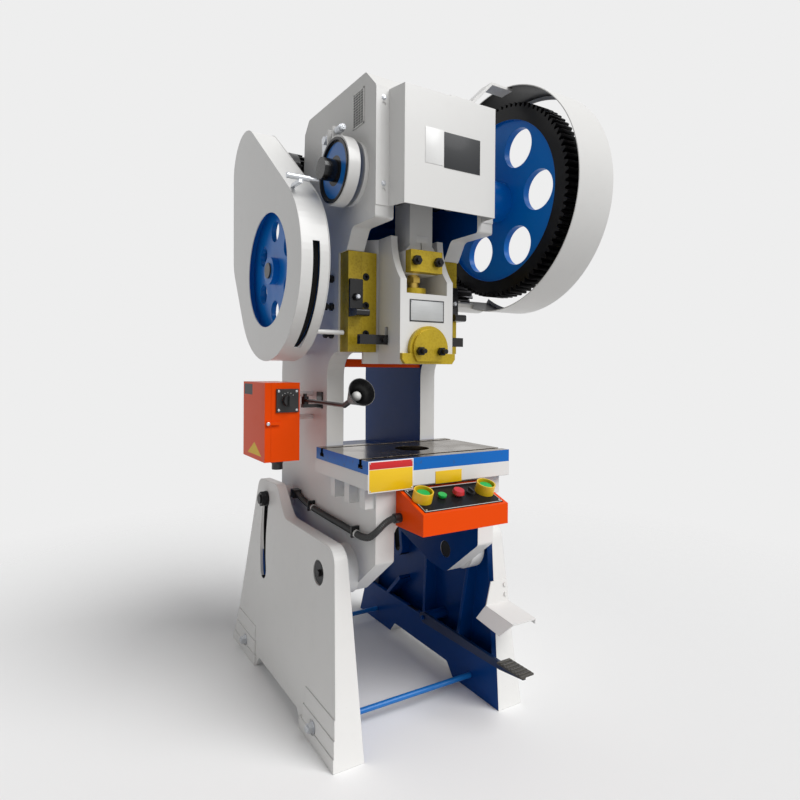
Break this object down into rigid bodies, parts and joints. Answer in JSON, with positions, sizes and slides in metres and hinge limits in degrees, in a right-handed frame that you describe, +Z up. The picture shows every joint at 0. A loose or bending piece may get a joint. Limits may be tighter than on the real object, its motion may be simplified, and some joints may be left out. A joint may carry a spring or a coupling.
{
  "type": "mechanical stamping press",
  "caption": "Open-back inclinable stamping press: C-frame tilting between two splayed legs, geared crank with belt and gear guards, guided ram, bolster with T-slots and two-hand control box.",
  "frame": {"origin": "centre of the four floor bolts, on the floor", "axes": "+X to the machine's right seen by its operator, -Y towards the operator, +Z up"},
  "size_m": [0.997, 1.286, 2.253],
  "materials": {
    "white_enamel": "gloss enamel",
    "blue_enamel": "gloss enamel",
    "orange_enamel": "satin enamel",
    "gold_enamel": "satin enamel",
    "black_enamel": "satin enamel",
    "ground_steel": "ground",
    "zinc_steel": "zinc plated",
    "black_steel": "black oxide",
    "bronze": "machined",
    "cast_grey": "as cast",
    "black_rubber": "matte",
    "black_plastic": "matte",
    "yellow_plastic": "gloss",
    "green_plastic": "gloss",
    "red_plastic": "gloss"
  },
  "bodies": {
    "stand": {"left_leg": "white_enamel", "right_leg": "white_enamel", "tie_rods": "blue_enamel", "tie_rod_nuts": "zinc_steel", "pedal_guard": "white_enamel"},
    "frame": {"c_frame": "white_enamel", "bolster_plate": "blue_enamel", "left_gib": "gold_enamel", "right_gib": "gold_enamel", "gib_bars": "gold_enamel", "gib_bolts": "black_steel", "front_guard": "white_enamel", "knockout_stops": "black_enamel", "crank_bushes": "bronze", "brake_band": "white_enamel", "brake_bracket": "zinc_steel", "brake_tensioner": "zinc_steel", "motor_housing": "black_enamel", "motor_plate": "white_enamel", "belt_guard": "white_enamel", "gear_guard": "white_enamel", "guard_brackets": "white_enamel", "cabinet_body": "orange_enamel", "cabinet_fittings": "black_plastic", "position_sensor": "zinc_steel", "control_box": "orange_enamel", "button_collars": "yellow_plastic", "control_hose": "black_rubber", "hose_fittings": "black_plastic", "throat_bar": "orange_enamel", "pivot_pins": "ground_steel", "tilt_lock_bolts": "black_steel", "shaft_bearings": "white_enamel", "drive_belts": "black_rubber", "lamp_bracket": "black_enamel"},
    "crank": {"crankshaft": "black_steel", "brake_drum": "blue_enamel"},
    "rod": {"connecting_rod": "white_enamel", "rod_cap": "white_enamel", "clamp_block": "gold_enamel", "clamp_bolts": "black_steel", "ball_screw": "ground_steel"},
    "ram": {"ram": "white_enamel", "ball_cap": "gold_enamel", "shank_clamp": "gold_enamel", "shank_clamp_nuts": "black_steel"},
    "knockout": {"knockout_bar": "black_enamel"},
    "gear": {"bull_gear": "blue_enamel"},
    "drive_shaft": {"pinion_shaft": "ground_steel", "flywheel": "blue_enamel"},
    "motor_rotor": {"motor_pulley": "cast_grey"},
    "pedal": {"foot_pedal": "black_enamel"},
    "left_palm": {"left_palm_button": "green_plastic"},
    "right_palm": {"right_palm_button": "green_plastic"},
    "start": {"start_button": "green_plastic"},
    "stop": {"stop_button": "red_plastic"},
    "mode": {"mode_switch": "black_plastic"},
    "isolator": {"main_switch": "black_plastic"},
    "door": {"cabinet_door": "orange_enamel"},
    "lamp": {"lamp_arm": "black_enamel"}
  },
  "joints": [
    {"name": "frame_tilt", "type": "hinge", "parent": "stand", "child": "frame", "pos_m": [0, -0.338, 0.538], "axis": [-1, 0, 0], "range_deg": [0, 30]},
    {"name": "crank_turn", "type": "hinge", "parent": "frame", "child": "crank", "pos_m": [0, -0.365, 1.838], "axis": [-1, 0, 0], "range_deg": [0, 180]},
    {"name": "ram_slide", "type": "slide", "parent": "frame", "child": "ram", "axis": [0, 0, 1], "range_m": [-0.065, 0]},
    {"name": "rod_swing", "type": "hinge", "parent": "crank", "child": "rod", "pos_m": [0, -0.365, 1.8705], "axis": [-1, 0, 0], "range_deg": [-180, 0]},
    {"name": "knockout_lift", "type": "slide", "parent": "ram", "child": "knockout", "axis": [0, 0, 1], "range_m": [0, 0.028]},
    {"name": "gear_spin", "type": "hinge", "parent": "frame", "child": "gear", "pos_m": [0, -0.365, 1.838], "axis": [1, 0, 0], "continuous": true},
    {"name": "drive_spin", "type": "hinge", "parent": "frame", "child": "drive_shaft", "pos_m": [0, -0.08107, 1.545], "axis": [1, 0, 0], "continuous": true},
    {"name": "motor_spin", "type": "hinge", "parent": "frame", "child": "motor_rotor", "pos_m": [-0.34, 0.18, 1.972], "axis": [1, 0, 0], "continuous": true},
    {"name": "pedal_press", "type": "hinge", "parent": "stand", "child": "pedal", "pos_m": [0.231, -0.112, 0.189], "axis": [1, 0, 0], "range_deg": [0, 6], "stiffness_Nm_per_rad": 60, "springref_deg": -17.19},
    {"name": "left_palm_press", "type": "slide", "parent": "frame", "child": "left_palm", "axis": [0, 0.337, -0.9415], "range_m": [0, 0.006], "stiffness_N_per_m": 600, "springref_m": -0.004},
    {"name": "right_palm_press", "type": "slide", "parent": "frame", "child": "right_palm", "axis": [0, 0.337, -0.9415], "range_m": [0, 0.006], "stiffness_N_per_m": 600, "springref_m": -0.004},
    {"name": "start_press", "type": "slide", "parent": "frame", "child": "start", "axis": [0, 0.337, -0.9415], "range_m": [0, 0.004], "stiffness_N_per_m": 500, "springref_m": -0.004},
    {"name": "stop_press", "type": "slide", "parent": "frame", "child": "stop", "axis": [0, 0.337, -0.9415], "range_m": [0, 0.004], "stiffness_N_per_m": 500, "springref_m": -0.004},
    {"name": "mode_turn", "type": "hinge", "parent": "frame", "child": "mode", "pos_m": [0.066, -0.60733, 0.80094], "axis": [0, -0.337, 0.9415], "range_deg": [-45, 45]},
    {"name": "isolator_turn", "type": "hinge", "parent": "frame", "child": "isolator", "pos_m": [-0.393, -0.195, 1.09], "axis": [0, 1, 0], "range_deg": [0, 90]},
    {"name": "door_swing", "type": "hinge", "parent": "frame", "child": "door", "pos_m": [-0.45, 0.055, 1.016], "axis": [0, 0, -1], "range_deg": [0, 100]},
    {"name": "lamp_swing", "type": "hinge", "parent": "frame", "child": "lamp", "pos_m": [-0.296, -0.11, 1.085], "axis": [0, 0, 1], "range_deg": [-25, 10]}
  ],
  "couplings": [
    {"joint": "ram_slide", "follows": "crank_turn", "m_per_rad": -0.02069},
    {"joint": "rod_swing", "follows": "crank_turn", "ratio": -1},
    {"joint": "drive_spin", "follows": "gear_spin", "ratio": -6.2857},
    {"joint": "motor_spin", "follows": "gear_spin", "ratio": -27.56}
  ]
}
